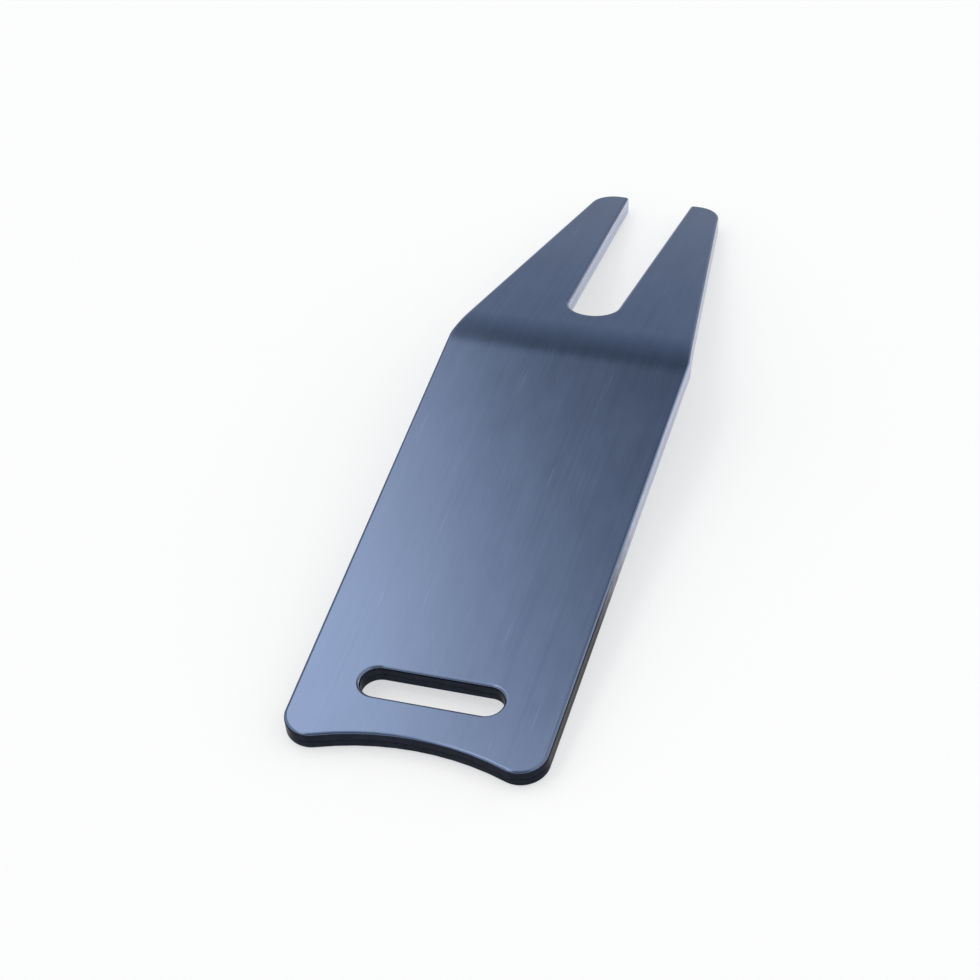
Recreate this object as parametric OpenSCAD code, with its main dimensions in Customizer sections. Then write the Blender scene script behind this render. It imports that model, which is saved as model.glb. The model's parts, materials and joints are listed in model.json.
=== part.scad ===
// Divot repair tool for golf greens: one piece of sheet metal, cut to outline and bent once.
// A flat grip with a crosswise slot and a scooped butt carries a shallow bend and a forked end.
// The tool stands as it lies on a table, domed side up, on its fork tips and butt corners.
// X runs across the tool, +Y runs from the butt to the fork tips and +Z is up.
// The origin is on the table, under the middle of the tool.

/* [Sheet and bend] */
// Thickness of the sheet metal
sheet_t = 2; // [1.2:0.1:3]
// Angle by which the fork is bent down from the grip
bend_angle = 17; // [8:1:30]
// Radius of the bend on the hollow side of the sheet
bend_r = 14; // [6:1:20]

/* [Grip] */
// Width of the grip
grip_w = 25.4; // [22:0.2:32]
// Length of the flat grip, from the butt corners to the bend
grip_len = 53.6; // [40:0.2:70]
// Radius of the two butt corners
corner_r = 2.7; // [1.5:0.1:4]
// Radius of the scoop across the butt, which runs smoothly into the butt corners
scoop_r = 27; // [22:1:40]

/* [Slot] */
// Length of the slot, over its round ends
slot_len = 13.9; // [8:0.1:16]
// Width of the slot
slot_w = 3.4; // [2.4:0.1:5]
// Distance from the butt corners to the middle of the slot
slot_y = 7.6; // [7:0.1:14]

/* [Fork] */
// Length of the flat fork, from the bend to its tips
fork_len = 33; // [31:0.5:45]
// Length of the bend that keeps the grip's full width, measured on the domed side
shoulder_len = 0.9; // [0.2:0.1:1.6]
// Width over both fork tips, before their outer corners are rounded
tip_w = 13.8; // [13:0.2:18]
// Radius of the outer corner of each fork tip
tip_r = 2.7; // [0.8:0.1:3]
// Depth of the gap between the prongs, from the tips to its round root
gap_depth = 29.8; // [18:0.2:31]
// Width of the gap at its round root
gap_root_w = 5.3; // [4.4:0.1:6.4]
// Width of the gap at the tips
gap_tip_w = 7.1; // [6.6:0.1:8]

/* [Hidden] */
finish_colour = "#4d5a70";
$fn = 180;

// Spare width and length on each side of the sheet before it is cut to outline
spare = 1;
// Amount by which a round stretch overlaps the faces that it runs into
overlap = 0.001;
// Angle by which the bend reaches into the flat sheet before and after it
lap_angle = 1;

// Radius of the bend on the domed side, and the length of its arc there
dome_r = bend_r + sheet_t;
dome_arc = dome_r * bend_angle * PI / 180;

// Distance that a cutter reaches past both faces of the sheet, also where the sheet bends away
reach = spare + dome_r * (1 - cos(bend_angle));

// Butt: each corner circle meets the side, the line through the butt corners and the scoop's circle
corner_x = grip_w / 2 - corner_r;
scoop_y = corner_r - sqrt(pow(scoop_r + corner_r, 2) - pow(corner_x, 2));
scoop_share = scoop_r / (scoop_r + corner_r);
scoop_end = [corner_x * scoop_share, scoop_y + (corner_r - scoop_y) * scoop_share];

// Fork, in its own plane, where y = 0 is the end of the bend
taper_y = -dome_r * sin((dome_arc - shoulder_len) / dome_r * 180 / PI);
taper_angle = atan((grip_w - tip_w) / 2 / (fork_len - taper_y));
tip_tangent = tip_r / tan(45 + taper_angle / 2);
tip_centre = [tip_w / 2 - tip_tangent, fork_len - tip_r];

// Gap: its walls run from the tips and meet the round root without a kink
root_r = gap_root_w / 2;
root_y = fork_len - gap_depth + root_r;
wall_reach = norm([gap_tip_w / 2, fork_len - root_y]);
wall_angle = atan(gap_tip_w / 2 / (fork_len - root_y)) - asin(root_r / wall_reach);
wall_start = [root_r * cos(wall_angle), root_y - root_r * sin(wall_angle)];
wall_end = [gap_tip_w / 2 + spare * tan(wall_angle), fork_len + spare];

// Rest: the underside of the fork tips, seen from the butt corners along the grip
tip_ahead = grip_len + bend_r * sin(bend_angle) + fork_len * cos(bend_angle);
tip_below = bend_r * (1 - cos(bend_angle)) + fork_len * sin(bend_angle);
rest_tilt = atan(tip_below / tip_ahead);
back_y = -sheet_t * sin(rest_tilt);
front_y = norm([tip_ahead, tip_below]) + sheet_t * sin(bend_angle - rest_tilt);

// Draws its children on both sides of the middle
module both_sides() {
    for (side = [0, 1]) {
        mirror([side, 0, 0]) children();
    }
}

// Turns a flat shape into a cutter that reaches past both faces of the sheet
module through_sheet() {
    translate([0, 0, -reach]) linear_extrude(sheet_t + 2 * reach) children();
}

// Places its children on the bend's axis, under the end of the grip
module at_bend() {
    translate([0, grip_len, -bend_r]) children();
}

// Places its children in the plane of the fork, at the end of the bend
module at_fork() {
    at_bend() rotate([-bend_angle, 0, 0]) translate([0, 0, bend_r]) children();
}

// Everything from the bend's axis out to a surface r away from it, with so much extra all round
module below_surface(r, extra) {
    back = grip_len + spare + extra;
    wide = grip_w + 2 * (spare + extra);
    at_bend() {
        translate([-wide / 2, -back, -extra]) cube([wide, back, r + extra]);
        rotate([0, -90, 0])
            rotate(-lap_angle)
                rotate_extrude(angle = bend_angle + 2 * lap_angle)
                    translate([0, -wide / 2]) square([r + overlap, wide]);
    }
    at_fork() translate([-wide / 2, 0, -bend_r - extra]) cube([wide, fork_len + extra, r + extra]);
}

// Strip of sheet, bent once, with spare width and with spare length at the butt
module bent_strip() {
    difference() {
        below_surface(dome_r, 0);
        below_surface(bend_r, spare);
    }
}

// Spare width beside the grip and the bend
module side_cut() {
    long = grip_len + 2 * spare + dome_r;
    translate([grip_w / 2, -2 * spare, -bend_r]) cube([2 * spare, long, bend_r + sheet_t + spare]);
}

// Scoop across the butt, between the two corners
module scoop_cut() {
    through_sheet() translate([0, scoop_y]) circle(scoop_r + overlap);
}

// What a round butt corner leaves of the strip
module corner_cut() {
    through_sheet() difference() {
        polygon([
            [corner_x, corner_r],
            [grip_w / 2 + 2 * spare, corner_r],
            [grip_w / 2 + 2 * spare, -2 * spare],
            [scoop_end.x, -2 * spare],
            scoop_end
        ]);
        translate([corner_x, corner_r]) circle(corner_r + overlap);
    }
}

// Slot with round ends, crosswise in the grip
module slot_cut() {
    straight = slot_len - slot_w;
    through_sheet() translate([0, slot_y]) {
        square([straight, slot_w], center = true);
        both_sides() translate([straight / 2, 0]) circle(slot_w / 2);
    }
}

// Wedge beside one prong, whose slanting face meets the side of the grip in the bend
module taper_cut() {
    slant = tan(taper_angle);
    through_sheet() polygon([
        [grip_w / 2 + spare * slant, taper_y - spare],
        [grip_w / 2 + 2 * spare, taper_y - spare],
        [grip_w / 2 + 2 * spare, fork_len + spare],
        [tip_w / 2 - spare * slant, fork_len + spare]
    ]);
}

// What a round outer corner leaves of a prong's square tip
module tip_cut() {
    side = [cos(taper_angle), sin(taper_angle)];
    through_sheet() difference() {
        polygon([
            tip_centre,
            tip_centre + (tip_r + 2 * spare) * side,
            [tip_w / 2 + 2 * spare, fork_len + spare],
            [tip_centre.x, fork_len + spare]
        ]);
        translate(tip_centre) circle(tip_r + overlap);
    }
}

// Gap between the prongs
module gap_cut() {
    through_sheet() {
        translate([0, root_y]) circle(root_r + overlap);
        polygon([
            [-wall_start.x, wall_start.y],
            wall_start,
            wall_end,
            [-wall_end.x, wall_end.y]
        ]);
    }
}

// The whole tool, stood on its fork tips and butt corners
module blade() {
    color(finish_colour)
        translate([0, -(back_y + front_y) / 2, 0])
            rotate([rest_tilt, 0, 0])
                difference() {
                    bent_strip();
                    both_sides() side_cut();
                    both_sides() corner_cut();
                    scoop_cut();
                    slot_cut();
                    at_fork() {
                        both_sides() taper_cut();
                        both_sides() tip_cut();
                        gap_cut();
                    }
                }
}

blade();
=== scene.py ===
"""Looks of the divot repair tool: one bent blade in a dark glossy finish, on a pale studio floor.

The blade is cut to outline flat, its edges are rounded, and then it is bent, as the real one is.
Lengths are in metres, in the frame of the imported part.
"""

import json
import math

import bmesh
import bpy
from mathutils import Matrix, Vector


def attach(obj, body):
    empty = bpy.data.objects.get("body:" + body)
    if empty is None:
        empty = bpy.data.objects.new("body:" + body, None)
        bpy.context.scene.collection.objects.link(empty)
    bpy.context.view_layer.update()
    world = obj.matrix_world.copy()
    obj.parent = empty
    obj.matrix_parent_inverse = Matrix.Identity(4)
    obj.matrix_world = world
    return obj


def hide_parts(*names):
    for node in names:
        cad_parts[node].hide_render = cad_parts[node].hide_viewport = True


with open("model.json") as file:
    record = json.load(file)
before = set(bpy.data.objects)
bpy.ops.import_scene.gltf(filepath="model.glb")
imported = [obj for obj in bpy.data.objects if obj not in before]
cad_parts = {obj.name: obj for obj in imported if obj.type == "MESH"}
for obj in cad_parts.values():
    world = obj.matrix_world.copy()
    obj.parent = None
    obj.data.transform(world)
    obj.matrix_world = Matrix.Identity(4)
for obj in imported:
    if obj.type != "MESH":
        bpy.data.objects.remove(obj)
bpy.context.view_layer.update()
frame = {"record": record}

MM = 0.001
QUARTER_TURN = math.pi / 2

# Sheet and bend: the same sizes as in the part's source
SHEET_T = 2.0 * MM
BEND_ANGLE = math.radians(17)
BEND_R = 14.0 * MM

# Grip
GRIP_W = 25.4 * MM
GRIP_LEN = 53.6 * MM
CORNER_R = 2.7 * MM
SCOOP_R = 27.0 * MM

# Slot
SLOT_LEN = 13.9 * MM
SLOT_W = 3.4 * MM
SLOT_Y = 7.6 * MM

# Fork
FORK_LEN = 33.0 * MM
SHOULDER_LEN = 0.9 * MM
TIP_W = 13.8 * MM
TIP_R = 2.7 * MM
GAP_DEPTH = 29.8 * MM
GAP_ROOT_W = 5.3 * MM
GAP_TIP_W = 7.1 * MM

# Detail that only the looks have: the tumbled edges, how far on either side the bend eases into the
# flats, and the small corners that tumbling rounds
EDGE_R = 0.35 * MM
BEND_EASE = 1.2 * MM
SHOULDER_R = 4.0 * MM
SNAG_R = 0.4 * MM

# Along the part: where the cut edges go from painted shade (black) to a painted reflection of a bright
# surround (pale), and where that is full
REFLECTION_FROM = -27 * MM
REFLECTION_TO = -11 * MM
REFLECTION_RAGGED = 2 * MM
# How far down a cut edge its smooth band ends, measured over the rounding
CRACK_DEPTH = 1.20 * MM
# The coating of the faces rolls over the rounded rims and ends where they lean this far from the wall
WALL_TILT = math.radians(40)

# Fineness of the mesh
ROUND_STEP = math.radians(4)
EDGE_STEPS = 10
WALL_STEPS = 3
BEND_STEPS = 36
PATH_STEPS = 360
# Vertices nearer than this are made one, because cutting the mesh over the bend leaves slivers
SAME_POINT = 0.002 * MM

DOME_R = BEND_R + SHEET_T
DOME_ARC = DOME_R * BEND_ANGLE
BEND_END = GRIP_LEN + DOME_ARC
TIP_Y = BEND_END + FORK_LEN
EASE_FROM = GRIP_LEN - BEND_EASE
EASE_TO = BEND_END + BEND_EASE


# ---------------------------------------------------------------- outline

def arc(centre, radius, start, end, hollow=False):
    """Points of an arc with the normals that point out of the sheet, as (point, normal) pairs."""
    steps = max(2, math.ceil(abs(end - start) / ROUND_STEP))
    pairs = []
    for i in range(steps + 1):
        angle = start + (end - start) * i / steps
        ray = Vector((math.cos(angle), math.sin(angle)))
        pairs.append((Vector(centre) + radius * ray, -ray if hollow else ray))
    return pairs


def rounded_corner(before, corner, after, radius):
    """The arc that rounds a corner of the outline, which turns left there."""
    before, corner, after = Vector(before), Vector(corner), Vector(after)
    way_in = (corner - before).normalized()
    way_out = (after - corner).normalized()
    start = math.atan2(-way_in.x, way_in.y)
    turn = way_in.angle(way_out)
    back = radius * math.tan(turn / 2)
    centre = corner - back * way_in + radius * Vector((-way_in.y, way_in.x))
    return arc(centre, radius, start, start + turn)


def right_half():
    """The outline from the middle of the scoop, up the right side, to the middle of the gap's root."""
    corner_x = GRIP_W / 2 - CORNER_R
    scoop_y = CORNER_R - math.sqrt((SCOOP_R + CORNER_R) ** 2 - corner_x ** 2)
    scoop_half = math.atan2(corner_x, CORNER_R - scoop_y)

    root_r = GAP_ROOT_W / 2
    root = Vector((0, TIP_Y - GAP_DEPTH + root_r))
    gap_tip = Vector((GAP_TIP_W / 2, TIP_Y))
    lean = math.atan2(gap_tip.x, gap_tip.y - root.y) - math.asin(root_r / (gap_tip - root).length)
    wall_foot = root + root_r * Vector((math.cos(lean), -math.sin(lean)))

    shoulder = (GRIP_W / 2, GRIP_LEN + SHOULDER_LEN)
    tip = (TIP_W / 2, TIP_Y)
    return [
        *arc((0, scoop_y), SCOOP_R, QUARTER_TURN, QUARTER_TURN - scoop_half, hollow=True)[:-1],
        *arc((corner_x, CORNER_R), CORNER_R, -QUARTER_TURN - scoop_half, 0),
        *rounded_corner((GRIP_W / 2, 0), shoulder, tip, SHOULDER_R),
        *rounded_corner(shoulder, tip, gap_tip, TIP_R),
        *rounded_corner(tip, gap_tip, wall_foot, SNAG_R),
        *arc(root, root_r, -lean, -QUARTER_TURN, hollow=True),
    ]


def outer_loop():
    half = right_half()
    flip = Vector((-1, 1))
    mirrored = [(point * flip, normal * flip) for point, normal in reversed(half)]
    return half + mirrored[1:-1]


def slot_loop():
    """The slot's outline, run the other way round, so that the sheet is on its left."""
    end_x = (SLOT_LEN - SLOT_W) / 2
    right = arc((end_x, SLOT_Y), SLOT_W / 2, QUARTER_TURN, -QUARTER_TURN, hollow=True)
    left = arc((-end_x, SLOT_Y), SLOT_W / 2, -QUARTER_TURN, -3 * QUARTER_TURN, hollow=True)
    return right + left


# ---------------------------------------------------------------- blade

def edge_profile():
    """The sheet's edge from the top face to the underside, as (inset, height, tilt) rows."""
    rows = []
    for i in range(EDGE_STEPS + 1):
        tilt = QUARTER_TURN * (1 - i / EDGE_STEPS)
        rows.append((EDGE_R * (1 - math.cos(tilt)), SHEET_T - EDGE_R * (1 - math.sin(tilt)), tilt))
    wall = SHEET_T - 2 * EDGE_R
    for i in range(1, WALL_STEPS):
        rows.append((0, SHEET_T - EDGE_R - wall * i / WALL_STEPS, 0))
    rows += [(inset, SHEET_T - height, -tilt) for inset, height, tilt in reversed(rows[:EDGE_STEPS + 1])]
    return rows


def bend_path():
    """The top face's line over the bend as (y, z, angle) rows. It tightens and slackens at even rates."""
    step = (EASE_TO - EASE_FROM) / PATH_STEPS
    rows = [(EASE_FROM, SHEET_T, 0.0)]
    for i in range(PATH_STEPS):
        from_end = min(i + 0.5, PATH_STEPS - i - 0.5) * step
        turn = step / DOME_R * min(from_end / (2 * BEND_EASE), 1)
        y, z, angle = rows[-1]
        middle = angle + turn / 2
        rows.append((y + step * math.cos(middle), z - step * math.sin(middle), angle + turn))
    return rows


BEND_PATH = bend_path()


def folded(x, along, height, normal):
    """Where a point of the flat sheet goes when the sheet is bent, in the frame of the grip."""
    place = (along - EASE_FROM) / (EASE_TO - EASE_FROM) * PATH_STEPS
    row = min(max(int(place), 0), PATH_STEPS - 1)
    share = min(max(place - row, 0), 1)
    y, z, angle = (a + (b - a) * share for a, b in zip(BEND_PATH[row], BEND_PATH[row + 1]))
    beyond = min(along - EASE_FROM, 0) + max(along - EASE_TO, 0)
    below = height - SHEET_T
    y += beyond * math.cos(angle) + below * math.sin(angle)
    z += below * math.cos(angle) - beyond * math.sin(angle)
    return Vector((x, y, z)), Matrix.Rotation(-angle, 3, "X") @ normal


def at_rest():
    """Turns the frame of the grip into that of the part, which stands on its fork tips and butt corners."""
    heel, toe = Vector((0, 0, 0)), folded(0, TIP_Y, 0, Vector((0, 0, 1)))[0]
    tilt = math.atan2(-toe.z, toe.y - heel.y)
    turned = Matrix.Rotation(tilt, 4, "X")
    back = (turned @ Vector((0, 0, SHEET_T))).y
    front = (turned @ toe).y + SHEET_T * math.sin(BEND_ANGLE - tilt)
    return Matrix.Translation((0, -(back + front) / 2, 0)) @ turned


def add_edge(bm, loop, layers):
    """Rings of vertices round one outline, joined by faces. Returns the top ring and the bottom ring."""
    profile = edge_profile()
    rings = []
    for inset, height, tilt in profile:
        ring = []
        for point, normal in loop:
            flat = point - inset * normal
            vert = bm.verts.new((flat.x, flat.y, height))
            vert[layers["normal"]] = (
                normal.x * math.cos(tilt), normal.y * math.cos(tilt), math.sin(tilt))
            ring.append(vert)
        rings.append(ring)
    lengths = [0]
    for (a, _), (b, _) in zip(loop, loop[1:] + loop[:1]):
        lengths.append(lengths[-1] + (b - a).length)
    depth = 0
    for k, (upper, lower) in enumerate(zip(rings, rings[1:])):
        on_wall = max(abs(profile[k][2]), abs(profile[k + 1][2])) < WALL_TILT
        step = (upper[0].co - lower[0].co).length
        for i in range(len(loop)):
            j = (i + 1) % len(loop)
            face = bm.faces.new((upper[i], lower[i], lower[j], upper[j]))
            if on_wall:
                face.material_index = 1
                corners = ((lengths[i], depth), (lengths[i], depth + step),
                           (lengths[i + 1], depth + step), (lengths[i + 1], depth))
            else:
                corners = [corner.vert.co.xy for corner in face.loops]
            for corner, uv in zip(face.loops, corners):
                corner[layers["uv"]].uv = uv
        depth += step
    return rings[0], rings[-1]


def close_face(bm, rings, layers, up):
    """Fills the sheet's face between the outer ring and the slot's ring."""
    edges = []
    for ring in rings:
        for a, b in zip(ring, ring[1:] + ring[:1]):
            edges.append(bm.edges.get((a, b)))
    made = bmesh.ops.triangle_fill(bm, edges=edges, use_beauty=True, use_dissolve=False)
    for face in made["geom"]:
        if isinstance(face, bmesh.types.BMFace):
            face.normal_update()
            if face.normal.z * up < 0:
                face.normal_flip()
            for corner in face.loops:
                corner[layers["uv"]].uv = corner.vert.co.xy


def make_blade():
    bm = bmesh.new()
    layers = {
        "normal": bm.verts.layers.float_vector.new("flat_normal"),
        "uv": bm.loops.layers.uv.new("sheet"),
    }
    tops, bottoms = zip(*(add_edge(bm, loop, layers) for loop in (outer_loop(), slot_loop())))
    close_face(bm, tops, layers, 1)
    close_face(bm, bottoms, layers, -1)
    for i in range(BEND_STEPS + 1):
        everything = bm.verts[:] + bm.edges[:] + bm.faces[:]
        line = (0, EASE_FROM + (EASE_TO - EASE_FROM) * i / BEND_STEPS, 0)
        bmesh.ops.bisect_plane(bm, geom=everything, plane_co=line, plane_no=(0, 1, 0))
    bmesh.ops.remove_doubles(bm, verts=bm.verts[:], dist=SAME_POINT)

    place = at_rest()
    normals = []
    for vert in bm.verts:
        point, normal = folded(*vert.co, vert[layers["normal"]].normalized())
        vert.co = place @ point
        normals.append(place.to_3x3() @ normal)
    bm.verts.layers.float_vector.remove(layers["normal"])

    mesh = bpy.data.meshes.new("blade_finish")
    bm.to_mesh(mesh)
    bm.free()
    mesh.shade_smooth()
    mesh.normals_split_custom_set_from_vertices(normals)
    blade = bpy.data.objects.new("blade_finish", mesh)
    bpy.context.scene.collection.objects.link(blade)
    return blade


blade = make_blade()
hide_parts("blade")
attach(blade, "root")

# ---------------------------------------------------------------- materials

class Graph:
    """Builds a node tree: each call adds one node and sets or links its inputs."""

    def __init__(self, tree):
        self.tree = tree

    def node(self, kind, inputs=None, **settings):
        made = self.tree.nodes.new(kind)
        for name, value in settings.items():
            setattr(made, name, value)
        for name, value in (inputs or {}).items():
            if isinstance(value, bpy.types.NodeSocket):
                self.tree.links.new(value, made.inputs[name])
            else:
                made.inputs[name].default_value = value
        return made

    def math(self, operation, a, b=0.0, c=0.0):
        return self.node("ShaderNodeMath", {0: a, 1: b, 2: c}, operation=operation).outputs[0]

    def between(self, value, low, high, to_low=0.0, to_high=1.0, smooth=False):
        """Value carried from one range to another, and held at its ends."""
        curve = "SMOOTHSTEP" if smooth else "LINEAR"
        ends = {"Value": value, "From Min": low, "From Max": high, "To Min": to_low, "To Max": to_high}
        return self.node("ShaderNodeMapRange", ends, interpolation_type=curve).outputs[0]

    def dot(self, vector, fixed):
        made = self.node("ShaderNodeVectorMath", {0: vector, 1: fixed}, operation="DOT_PRODUCT")
        return made.outputs["Value"]

    def mix_colours(self, factor, first, second):
        made = self.node("ShaderNodeMix", {0: factor, 6: first, 7: second}, data_type="RGBA")
        return made.outputs[2]


def new_material(name):
    material = bpy.data.materials.new(name)
    material.use_nodes = True
    return material, Graph(material.node_tree), material.node_tree.nodes["Principled BSDF"]


def lines_on_sheet(graph, across, along, detail):
    """Noise drawn out into lines: so many to a metre across them and along them."""
    place = graph.node("ShaderNodeUVMap", uv_map="sheet").outputs[0]
    drawn = graph.node("ShaderNodeMapping", {"Vector": place, "Scale": (across, along, 1)}).outputs[0]
    noise = graph.node(
        "ShaderNodeTexNoise", {"Vector": drawn, "Scale": 1.0, "Detail": detail, "Roughness": 0.6})
    return noise.outputs["Fac"]


# Noise stays nearly always in the wide range, and a sum of noises in the narrow one
WIDE = (0.3, 0.7)
NARROW = (0.36, 0.64)


def painted_reflection_along(graph):
    """Zero where the hand holds the tool, and one on the upper blade and the prongs: how far a cut edge
    goes from painted shade to a painted reflection of a bright surround.
    """
    patches = lines_on_sheet(graph, 700, 2000, 3)
    place = graph.node("ShaderNodeTexCoord").outputs["Object"]
    along = graph.node("ShaderNodeSeparateXYZ", {0: place}).outputs["Y"]
    shift = graph.between(patches, *WIDE, -REFLECTION_RAGGED, REFLECTION_RAGGED)
    return graph.between(graph.math("ADD", along, shift), REFLECTION_FROM, REFLECTION_TO, smooth=True)


def weighed(graph, *parts):
    """The sum of (share, value) parts."""
    total = 0.0
    for share, value in parts:
        total = graph.math("MULTIPLY_ADD", value, share, total)
    return total


# The coating's darkest and lightest colour, and that of the scratches in it
COATING_DARK = (0.095, 0.131, 0.217, 1)
COATING_LIGHT = (0.119, 0.163, 0.265, 1)
SCRATCH_COLOUR = (0.20, 0.25, 0.37, 1)
COATING_ROUGHNESS = (0.113, 0.157)
# What the coating keeps of the gleam at glancing angles, so that it stays blue-grey from low down
COATING_GLANCE = (0.60, 0.62, 0.70, 1)

# The darkest and lightest colour of a cut edge and what it keeps at glancing angles: black with painted
# shade, and pale with a painted reflection of a bright surround
SHADED_EDGE = (0.006, 0.008, 0.012, 1), (0.026, 0.031, 0.046, 1)
SHADED_GLANCE = (0.62, 0.60, 0.60, 1)
REFLECTING_EDGE = (0.32, 0.335, 0.40, 1), (0.62, 0.65, 0.745, 1)
REFLECTING_GLANCE = (0.88, 0.91, 1, 1)
EDGE_ROUGHNESS = (0.16, 0.36)
# How far the crack in a cut edge wanders, the width that it fades over, and the change beyond it
CRACK_WANDER = 0.2 * MM
CRACK_FADE = (0.03 * MM, 0.16 * MM)
BROKEN_FADE = 0.06 * MM
# How deep the brushing of the faces and the grain of the cut edges are
BRUSHING_DEPTH = 0.02 * MM
GRAIN_DEPTH = 0.03 * MM


def coated_face():
    """Dark blue-grey glossy coating over steel that was brushed lengthwise, with fine scratches."""
    material, graph, shader = new_material("coated_face")
    brushing = weighed(
        graph,
        (0.45, lines_on_sheet(graph, 7000, 40, 3)),
        (0.35, lines_on_sheet(graph, 2400, 25, 2)),
        (0.20, lines_on_sheet(graph, 700, 15, 2)))
    handling = lines_on_sheet(graph, 420, 170, 3)
    clouding = lines_on_sheet(graph, 120, 50, 2)
    tone = weighed(graph, (0.5, brushing), (0.25, handling), (0.25, clouding))
    coating = graph.mix_colours(graph.between(tone, *NARROW), COATING_DARK, COATING_LIGHT)
    scratches = graph.between(lines_on_sheet(graph, 2600, 90, 1), 0.73, 0.78, 0.0, 0.3)
    colour = graph.mix_colours(scratches, coating, SCRATCH_COLOUR)
    marks = weighed(graph, (0.6, brushing), (0.4, handling))
    rough = graph.between(marks, *NARROW, *COATING_ROUGHNESS)
    bump = graph.node("ShaderNodeBump", {"Height": brushing, "Strength": 0.04, "Distance": BRUSHING_DEPTH})
    for name, value in {"Base Color": colour, "Roughness": rough, "Normal": bump.outputs[0]}.items():
        graph.tree.links.new(value, shader.inputs[name])
    shader.inputs["Metallic"].default_value = 1
    shader.inputs["Specular Tint"].default_value = COATING_GLANCE
    shader.inputs["Coat Weight"].default_value = 0.5
    shader.inputs["Coat Roughness"].default_value = 0.08
    return material


def cut_edge():
    """The cut edges, as a press leaves them: a smooth band, a crack, and a rougher broken band below.
    They are black with painted shade on the lower grip, and pale with a painted reflection of a bright
    surround on the upper blade and the prongs."""
    material, graph, shader = new_material("cut_edge")
    place = graph.node("ShaderNodeUVMap", uv_map="sheet").outputs[0]
    depth = graph.node("ShaderNodeSeparateXYZ", {0: place}).outputs["Y"]
    wander = graph.between(lines_on_sheet(graph, 330, 60, 4), *WIDE, -CRACK_WANDER, CRACK_WANDER)
    past_crack = graph.math("SUBTRACT", graph.math("ADD", depth, wander), CRACK_DEPTH)
    broken = graph.between(past_crack, -BROKEN_FADE, BROKEN_FADE, smooth=True)
    crack = graph.between(graph.math("ABSOLUTE", past_crack), *CRACK_FADE, 1.0, 0.0, smooth=True)
    lines = weighed(
        graph,
        (0.65, lines_on_sheet(graph, 150, 9000, 4)),
        (0.35, lines_on_sheet(graph, 1300, 800, 3)))
    tone = graph.between(weighed(graph, (1.0, lines), (-0.14, crack)), 0.25, 0.65)
    # Painted shade and painted reflection: black cut edges with a dimmed glancing gleam on the lower grip,
    # pale ones with a full gleam further up
    reflection_mask = painted_reflection_along(graph)
    colour = graph.mix_colours(
        reflection_mask, graph.mix_colours(tone, *SHADED_EDGE), graph.mix_colours(tone, *REFLECTING_EDGE))
    glance = graph.mix_colours(reflection_mask, SHADED_GLANCE, REFLECTING_GLANCE)
    coarse = weighed(graph, (1.0, lines), (0.15, broken))
    rough = graph.between(coarse, 0.3, 0.8, *EDGE_ROUGHNESS)
    height = weighed(graph, (1.0, lines), (-0.5, crack))
    bump = graph.node("ShaderNodeBump", {"Height": height, "Strength": 0.25, "Distance": GRAIN_DEPTH})
    links = {"Base Color": colour, "Specular Tint": glance, "Roughness": rough, "Normal": bump.outputs[0]}
    for name, value in links.items():
        graph.tree.links.new(value, shader.inputs[name])
    shader.inputs["Metallic"].default_value = 1
    return material


blade.data.materials.append(coated_face())
blade.data.materials.append(cut_edge())

# ---------------------------------------------------------------- studio

FLOOR_SIZE = 4.0
FLOOR_COLOUR = (0.42, 0.42, 0.42, 1)
FLOOR_ROUGHNESS = 0.9
# How much light the floor adds of its own where it is seen, which brings it to the photograph's white
FLOOR_LIFT = 0.575


def seen_directly(graph):
    """One for rays that show a surface: from the camera, in a gloss or through glass."""
    path = graph.node("ShaderNodeLightPath").outputs
    shown = graph.math("MAXIMUM", path["Is Glossy Ray"], path["Is Transmission Ray"])
    return graph.math("MAXIMUM", path["Is Camera Ray"], shown)


def make_floor():
    mesh = bpy.data.meshes.new("floor")
    bm = bmesh.new()
    bmesh.ops.create_grid(bm, x_segments=1, y_segments=1, size=FLOOR_SIZE / 2)
    bm.to_mesh(mesh)
    bm.free()
    floor = bpy.data.objects.new("floor", mesh)
    bpy.context.scene.collection.objects.link(floor)
    material, graph, shader = new_material("floor")
    shader.inputs["Base Color"].default_value = FLOOR_COLOUR
    shader.inputs["Roughness"].default_value = FLOOR_ROUGHNESS
    shader.inputs["Specular IOR Level"].default_value = 0
    shader.inputs["Emission Color"].default_value = (1, 1, 1, 1)
    lift = graph.math("MULTIPLY", seen_directly(graph), FLOOR_LIFT)
    graph.tree.links.new(lift, shader.inputs["Emission Strength"])
    mesh.materials.append(material)
    return floor


make_floor()


def towards(azimuth, elevation):
    """The direction at that height above the horizon. Azimuth 0 is +Y and 90 is +X, in degrees."""
    a, e = math.radians(azimuth), math.radians(elevation)
    return Vector((math.sin(a) * math.cos(e), math.cos(a) * math.cos(e), math.sin(e)))


# Nearer to the plane at right angles to its direction, a panel ends, so that it has no twin behind it
LEAST_DEPTH = 0.05


def panel(graph, ray, azimuth, elevation, wide, high, soft):
    """One inside a panel far away in that direction and zero outside. Its half width, half height and
    soft rim are shares of its distance."""
    ahead = towards(azimuth, elevation)
    right = towards(azimuth + 90, 0)
    up = right.cross(ahead)
    depth = graph.math("MAXIMUM", graph.dot(ray, ahead), LEAST_DEPTH)
    inside = graph.between(graph.dot(ray, ahead), LEAST_DEPTH, 2 * LEAST_DEPTH)
    for axis, half in ((right, wide), (up, high)):
        off = graph.math("ABSOLUTE", graph.math("DIVIDE", graph.dot(ray, axis), depth))
        edge = graph.between(off, half - soft, half + soft, 1.0, 0.0, smooth=True)
        inside = graph.math("MULTIPLY", inside, edge)
    return inside


# Azimuth and elevation, half width, half height, soft rim, and what it adds to the dome
SOFT_BOXES = (
    (-89, 67, 0.70, 0.10, 0.137, 1.65),
    (42, 17, 0.16, 0.14, 0.08, 1.5),
)
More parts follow.
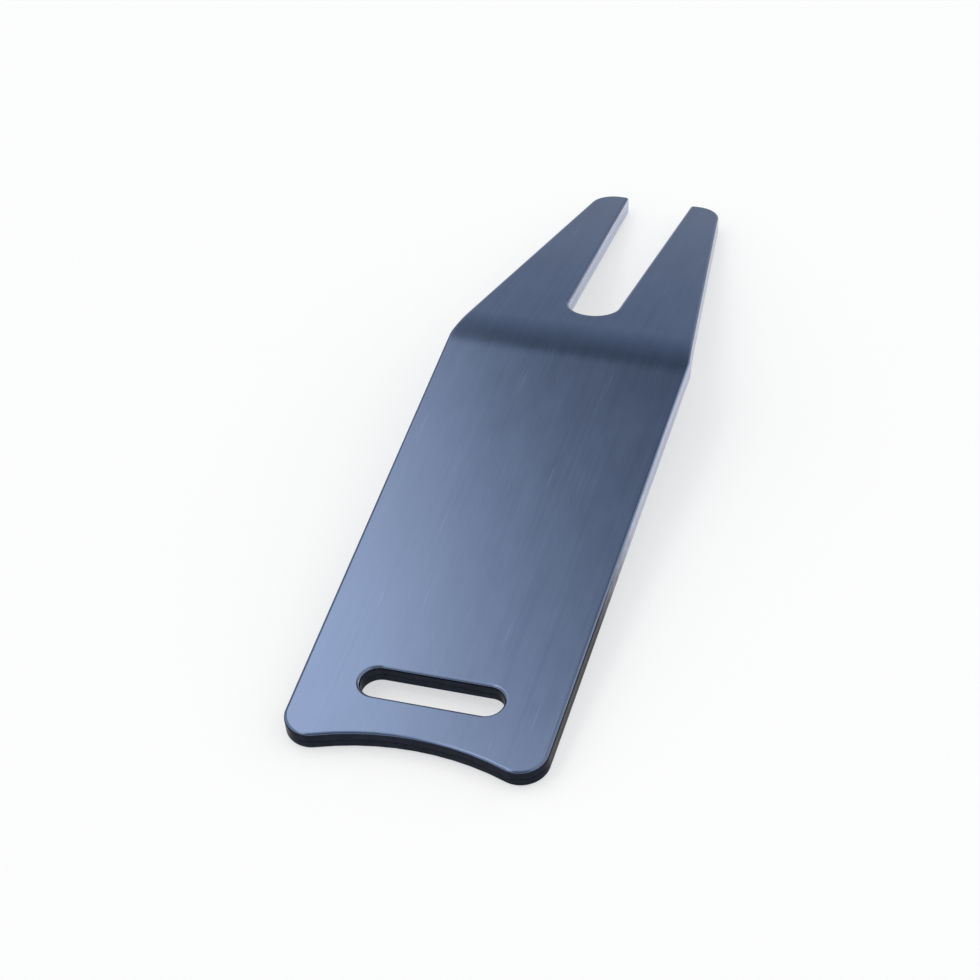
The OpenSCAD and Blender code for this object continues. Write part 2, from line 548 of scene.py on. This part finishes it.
# Azimuth and elevation, half width, half height, soft rim, and the tone at its foot and its head
CARDS = (
    (-2, 36.9, 0.273, 0.400, 0.03, 0.560, 0.280),
    (-48, 10, 0.36, 0.28, 0.08, 0.30, 0.30),
    (172, 52, 0.45, 0.36, 0.20, 0.32, 0.32),
)
CARD_TINT = (0.875, 1.0, 1.153, 1)
# The heights of a card's foot and head for those tones, as sines of the elevation
CARD_SPAN = (0.28, 0.70)
# The dome's tone at the horizon and overhead
DOME_TONES = (0.87, 1.06)


def make_studio():
    """An even white dome with soft boxes and dark cards, which draw the gradients in the gloss."""
    world = bpy.data.worlds.new("studio")
    world.use_nodes = True
    graph = Graph(world.node_tree)
    background = world.node_tree.nodes["Background"]
    ray = graph.node("ShaderNodeTexCoord").outputs["Generated"]
    height = graph.dot(ray, (0, 0, 1))

    lit = graph.between(height, 0, 1, *DOME_TONES)
    for azimuth, elevation, wide, high, soft, low_tone, high_tone in CARDS:
        card = panel(graph, ray, azimuth, elevation, wide, high, soft)
        tone = graph.between(height, *CARD_SPAN, low_tone, high_tone)
        lit = graph.mix_colours(card, lit, graph.mix_colours(tone, (0, 0, 0, 1), CARD_TINT))
    for azimuth, elevation, wide, high, soft, strength in SOFT_BOXES:
        box = graph.math("MULTIPLY", panel(graph, ray, azimuth, elevation, wide, high, soft), strength)
        lit = graph.node("ShaderNodeVectorMath", {0: lit, 1: box}, operation="ADD").outputs[0]

    seen = graph.node("ShaderNodeLightPath").outputs["Is Camera Ray"]
    graph.tree.links.new(graph.mix_colours(seen, lit, (1, 1, 1, 1)), background.inputs["Color"])
    bpy.context.scene.world = world


make_studio()

# ---------------------------------------------------------------- camera

VIEW_AZIMUTH = math.radians(19.52)
VIEW_ELEVATION = math.radians(39.55)
VIEW_ROLL = math.radians(-3.80)
VIEW_DISTANCE = 304 * MM
FIELD_OF_VIEW = math.radians(17.9)
# Where the camera looks, from the middle of the grip's top face: across the grip and along it
AIM_ACROSS = -2.1 * MM
AIM_ALONG = 3.4 * MM

grip_top = next(m for m in frame["record"]["mounts"] if m["name"] == "grip_top")
lean = Matrix.Rotation(math.atan2(-grip_top["axis"][1], grip_top["axis"][2]), 3, "X")
aim = Vector(grip_top["pos_m"]) + lean @ Vector((AIM_ACROSS, AIM_ALONG, 0))
back = Vector((
    math.sin(VIEW_AZIMUTH) * math.cos(VIEW_ELEVATION),
    -math.cos(VIEW_AZIMUTH) * math.cos(VIEW_ELEVATION),
    math.sin(VIEW_ELEVATION),
))
camera = bpy.data.objects.new("camera", bpy.data.cameras.new("camera"))
bpy.context.scene.collection.objects.link(camera)
bpy.context.scene.camera = camera
camera.data.sensor_width = 36
camera.data.angle = FIELD_OF_VIEW
camera.location = aim + VIEW_DISTANCE * back
camera.rotation_mode = "QUATERNION"
camera.rotation_quaternion = (
    (-back).to_track_quat("-Z", "Y") @ Matrix.Rotation(VIEW_ROLL, 3, "Z").to_quaternion())
camera.data.clip_start = 0.01
camera.data.clip_end = 20

bpy.context.scene.view_settings.view_transform = "Standard"
